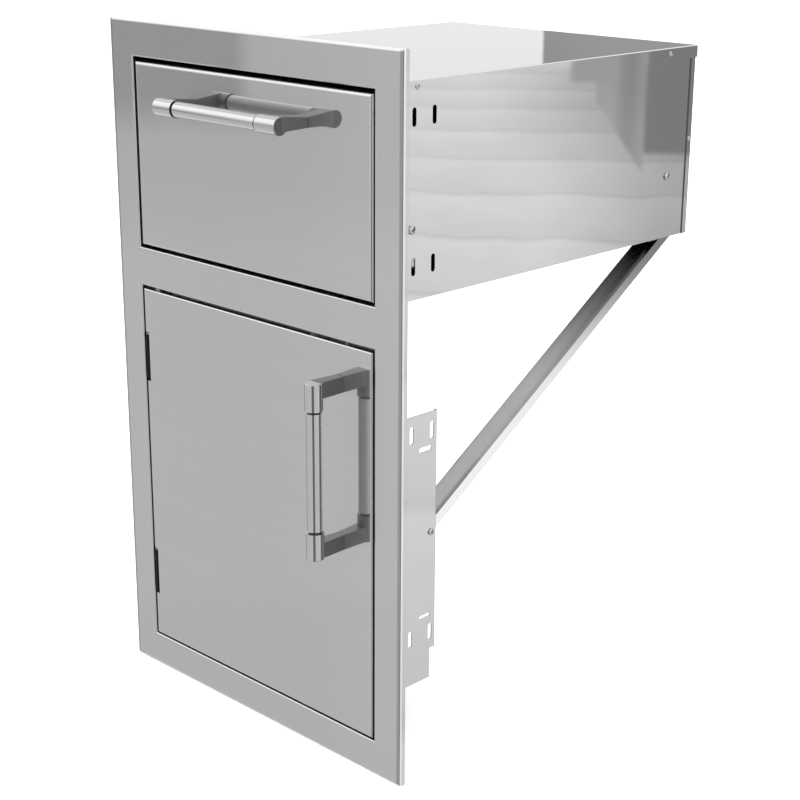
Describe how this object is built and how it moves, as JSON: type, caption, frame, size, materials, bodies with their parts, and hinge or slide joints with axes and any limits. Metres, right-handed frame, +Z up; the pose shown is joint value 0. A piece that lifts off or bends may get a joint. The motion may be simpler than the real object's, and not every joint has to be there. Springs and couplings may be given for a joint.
{
  "type": "outdoor kitchen door and drawer unit",
  "caption": "Stainless face frame with a full-extension drawer in a closed housing above a hinged door over an open bay, to drop into a counter cut-out.",
  "frame": {"origin": "middle of the frame's bottom edge, on the seating plane at the back of its folded edge", "axes": "+X to the right seen from the front, +Y to the back, into the counter, +Z up"},
  "size_m": [0.435, 0.5448, 0.74],
  "materials": {
    "frame_steel": "brushed, bright",
    "front_steel": "brushed, bright",
    "handle_steel": "polished",
    "housing_steel": "mill finish, smooth",
    "bracket_steel": "mill finish, smooth",
    "liner_steel": "mill finish, smooth",
    "fastener_steel": "plain bright",
    "hinge_steel": "black zinc plated",
    "slide_steel": "bright zinc plated",
    "cage_steel": "yellow zinc plated",
    "ball_steel": "polished",
    "bumper_rubber": "matt",
    "catch_plastic": "moulded, matt",
    "magnet_ferrite": "sintered, dull"
  },
  "bodies": {
    "frame": {"brace_left": "bracket_steel", "brace_nuts": "fastener_steel", "brace_right": "bracket_steel", "brace_screws": "fastener_steel", "catch_bracket": "bracket_steel", "catch_magnet": "magnet_ferrite", "catch_pole_plates": "slide_steel", "catch_screws": "fastener_steel", "door_bumpers": "bumper_rubber", "door_jamb_left": "bracket_steel", "door_jamb_right": "bracket_steel", "door_stop_tabs": "bracket_steel", "face_frame": "frame_steel", "hinge_frame_leaf_lower": "hinge_steel", "hinge_frame_leaf_upper": "hinge_steel", "hinge_pins": "fastener_steel", "housing_back_panel": "housing_steel", "housing_bottom_panel": "housing_steel", "housing_rivets": "fastener_steel", "housing_side_left": "housing_steel", "housing_side_right": "housing_steel", "housing_top_cover": "housing_steel", "magnetic_catch_body": "catch_plastic", "slide_mount_screws": "fastener_steel", "slide_outer_left": "slide_steel", "slide_outer_right": "slide_steel", "slide_stop_bumpers": "bumper_rubber"},
    "drawer": {"drawer_front_liner": "liner_steel", "drawer_front_panel": "front_steel", "drawer_front_screws": "fastener_steel", "drawer_handle_ends": "handle_steel", "drawer_handle_screws": "fastener_steel", "drawer_handle_tube": "handle_steel", "drawer_slide_screws": "fastener_steel", "drawer_tray": "liner_steel", "drawer_tray_back": "liner_steel", "drawer_tray_front": "liner_steel", "slide_inner_left": "slide_steel", "slide_inner_right": "slide_steel"},
    "door": {"door_handle_ends": "handle_steel", "door_handle_screws": "fastener_steel", "door_handle_tube": "handle_steel", "door_inner_panel": "liner_steel", "door_outer_panel": "front_steel", "door_strike_plate": "slide_steel", "hinge_door_leaf_lower": "hinge_steel", "hinge_door_leaf_upper": "hinge_steel"},
    "middle_right": {"slide_middle_right": "slide_steel"},
    "outer_cage_right": {"outer_ball_cage_right": "cage_steel", "outer_balls_right": "ball_steel"},
    "inner_cage_right": {"inner_ball_cage_right": "cage_steel", "inner_balls_right": "ball_steel"},
    "middle_left": {"slide_middle_left": "slide_steel"},
    "outer_cage_left": {"outer_ball_cage_left": "cage_steel", "outer_balls_left": "ball_steel"},
    "inner_cage_left": {"inner_ball_cage_left": "cage_steel", "inner_balls_left": "ball_steel"}
  },
  "joints": [
    {"name": "drawer_slide", "type": "slide", "parent": "frame", "child": "drawer", "axis": [0, -1, 0], "range_m": [0, 0.44]},
    {"name": "door_hinge", "type": "hinge", "parent": "frame", "child": "door", "pos_m": [-0.1755, -0.0044, 0.24675], "axis": [0, 0, 1], "range_deg": [-110, 0]},
    {"name": "middle_right_slide", "type": "slide", "parent": "frame", "child": "middle_right", "axis": [0, -1, 0], "range_m": [0, 0.22]},
    {"name": "outer_cage_right_slide", "type": "slide", "parent": "frame", "child": "outer_cage_right", "axis": [0, -1, 0], "range_m": [0, 0.11]},
    {"name": "inner_cage_right_slide", "type": "slide", "parent": "frame", "child": "inner_cage_right", "axis": [0, -1, 0], "range_m": [0, 0.33]},
    {"name": "middle_left_slide", "type": "slide", "parent": "frame", "child": "middle_left", "axis": [0, -1, 0], "range_m": [0, 0.22]},
    {"name": "outer_cage_left_slide", "type": "slide", "parent": "frame", "child": "outer_cage_left", "axis": [0, -1, 0], "range_m": [0, 0.11]},
    {"name": "inner_cage_left_slide", "type": "slide", "parent": "frame", "child": "inner_cage_left", "axis": [0, -1, 0], "range_m": [0, 0.33]}
  ],
  "couplings": [
    {"joint": "middle_right_slide", "follows": "drawer_slide", "ratio": 0.5},
    {"joint": "outer_cage_right_slide", "follows": "drawer_slide", "ratio": 0.25},
    {"joint": "inner_cage_right_slide", "follows": "drawer_slide", "ratio": 0.75},
    {"joint": "middle_left_slide", "follows": "drawer_slide", "ratio": 0.5},
    {"joint": "outer_cage_left_slide", "follows": "drawer_slide", "ratio": 0.25},
    {"joint": "inner_cage_left_slide", "follows": "drawer_slide", "ratio": 0.75}
  ]
}
